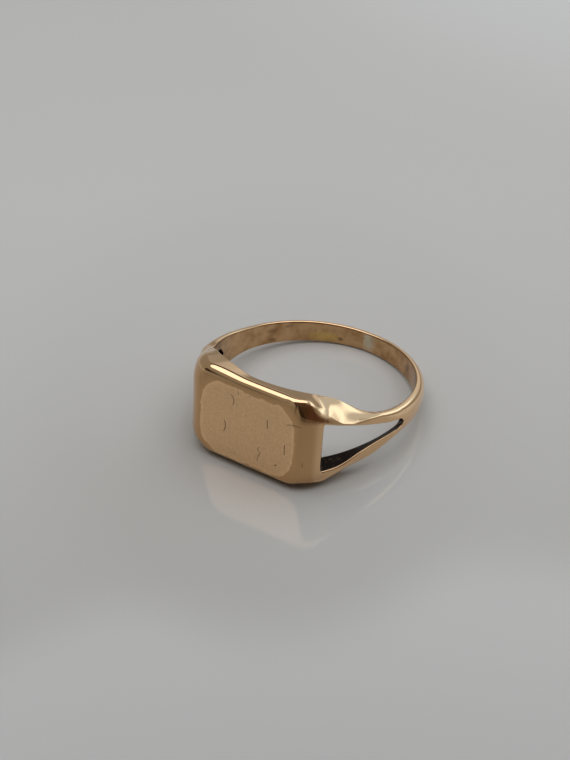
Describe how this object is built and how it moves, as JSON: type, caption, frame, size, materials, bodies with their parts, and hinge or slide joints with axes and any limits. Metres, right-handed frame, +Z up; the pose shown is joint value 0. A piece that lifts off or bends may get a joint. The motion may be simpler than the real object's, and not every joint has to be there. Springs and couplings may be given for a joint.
{
  "type": "signet ring",
  "caption": "Gold signet ring with a plain rounded rectangular face, split shoulders and a slim D-shaped shank, lying on its side.",
  "frame": {"origin": "middle of the bottom of the ring's box, on the surface it lies on", "axes": "+Z up from that surface; the ring lies on its side with its signet face towards -Y and leaning back slightly, the back of its shank towards +Y, and its shoulders towards -X and +X"},
  "size_m": [0.0196, 0.0206, 0.0086],
  "materials": {
    "gold": "polished, worn rose-yellow 9 carat gold with a finely scratched face",
    "solder": "polished gold solder, slightly paler than the gold"
  },
  "bodies": {
    "root": {"signet_head": "gold", "shoulder_wire_upper_right": "gold", "shoulder_wire_upper_left": "gold", "shoulder_wire_lower_right": "gold", "shoulder_wire_lower_left": "gold", "shank_right": "gold", "sizing_insert": "gold", "shank_left": "gold", "head_solder_upper_right": "solder", "head_solder_upper_left": "solder", "head_solder_lower_right": "solder", "head_solder_lower_left": "solder", "fork_solder_right": "solder", "fork_solder_left": "solder", "sizing_solder_right": "solder", "sizing_solder_left": "solder"}
  },
  "joints": []
}
